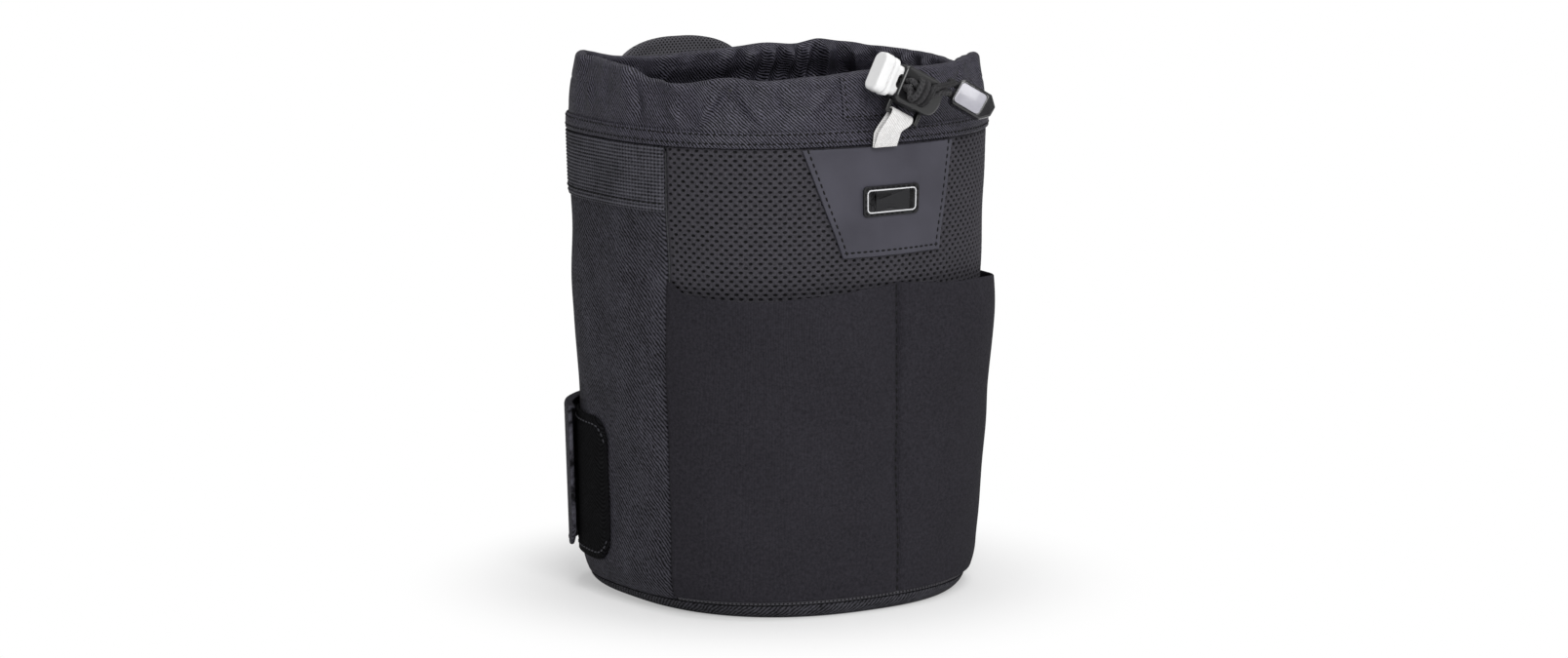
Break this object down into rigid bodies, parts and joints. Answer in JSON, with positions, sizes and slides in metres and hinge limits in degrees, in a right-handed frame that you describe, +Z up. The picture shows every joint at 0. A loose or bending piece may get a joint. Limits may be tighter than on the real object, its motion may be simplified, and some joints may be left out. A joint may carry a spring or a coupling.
{
  "type": "lens pouch",
  "caption": "Padded upright drawstring pouch with an oval section, a stretch front pocket, a gathered collar closed by a cord lock, and a belt flap on its back.",
  "frame": {"origin": "on the flat base, in the middle of the width and on the line where the rounder front half meets the flatter back half", "axes": "+Z up out of the mouth, -Y out of the front where the pocket and badge are, +X to the right seen from the front"},
  "size_m": [0.1784, 0.1802, 0.2412],
  "materials": {
    "front_mesh": "open hexagonal spacer mesh, matte",
    "side_cloth": "heavy twill, matte",
    "band_webbing": "cross-ribbed webbing",
    "tab_mesh": "fine air mesh",
    "stretch_cloth": "smooth matte stretch knit",
    "collar_nylon": "light nylon twill with a slight sheen",
    "base_cloth": "coated cloth",
    "foam": "closed-cell foam, unseen",
    "lining_cloth": "smooth lining cloth",
    "patch_rubber": "smooth matte coated patch",
    "badge_rubber": "moulded rubber, bare, with a raised border",
    "ribbon": "pale grosgrain",
    "cord": "braided cord, 2.2 mm",
    "black_plastic": "moulded, slightly glossy",
    "white_plastic": "moulded, white",
    "silver_plastic": "satin silver-grey",
    "spring_steel": "spring wire",
    "grip_cloth": "hook and loop cloth"
  },
  "bodies": {
    "pouch": {"front_panel": "front_mesh", "left_side_panel": "side_cloth", "right_side_panel": "side_cloth", "back_panel": "side_cloth", "upper_band": "band_webbing", "base_panel": "base_cloth", "wall_foam": "foam", "base_foam": "foam", "wall_lining": "lining_cloth", "base_lining": "lining_cloth", "mouth_binding": "lining_cloth", "stretch_pocket": "stretch_cloth", "front_patch": "patch_rubber", "patch_badge": "badge_rubber", "collar": "collar_nylon", "collar_tape": "collar_nylon", "cord_exit_patch": "collar_nylon", "draw_cord": "cord", "anchor_ribbon": "ribbon", "back_tab": "tab_mesh", "belt_pad": "side_cloth", "loop_patch": "grip_cloth"},
    "belt_flap": {"belt_flap": "side_cloth", "hook_patch": "grip_cloth"},
    "cord_lock": {"cord_lock_body": "black_plastic", "cord_lock_spring": "spring_steel", "cord_strand_upper": "cord", "cord_strand_lower": "cord", "cord_knot": "cord", "cord_tail_upper": "cord", "cord_tail_lower": "cord", "end_clip_body": "black_plastic", "end_clip_face": "silver_plastic"},
    "lock_button": {"cord_lock_button": "white_plastic"}
  },
  "joints": [
    {"name": "flap_hinge", "type": "hinge", "parent": "pouch", "child": "belt_flap", "pos_m": [0, 0.06464, 0.0813], "axis": [1, 0, 0], "range_deg": [-2, 88]},
    {"name": "lock_swing", "type": "hinge", "parent": "pouch", "child": "cord_lock", "pos_m": [0.00362, -0.09, 0.21334], "axis": [0.891, 0, -0.454], "range_deg": [0, 60], "deforming": ["cord_strand_upper", "cord_strand_lower"]},
    {"name": "button_press", "type": "slide", "parent": "cord_lock", "child": "lock_button", "axis": [0.891, 0, -0.454], "range_m": [0, 0.0026], "stiffness_N_per_m": 400, "springref_m": -0.002, "deforming": ["cord_lock_spring"]}
  ]
}
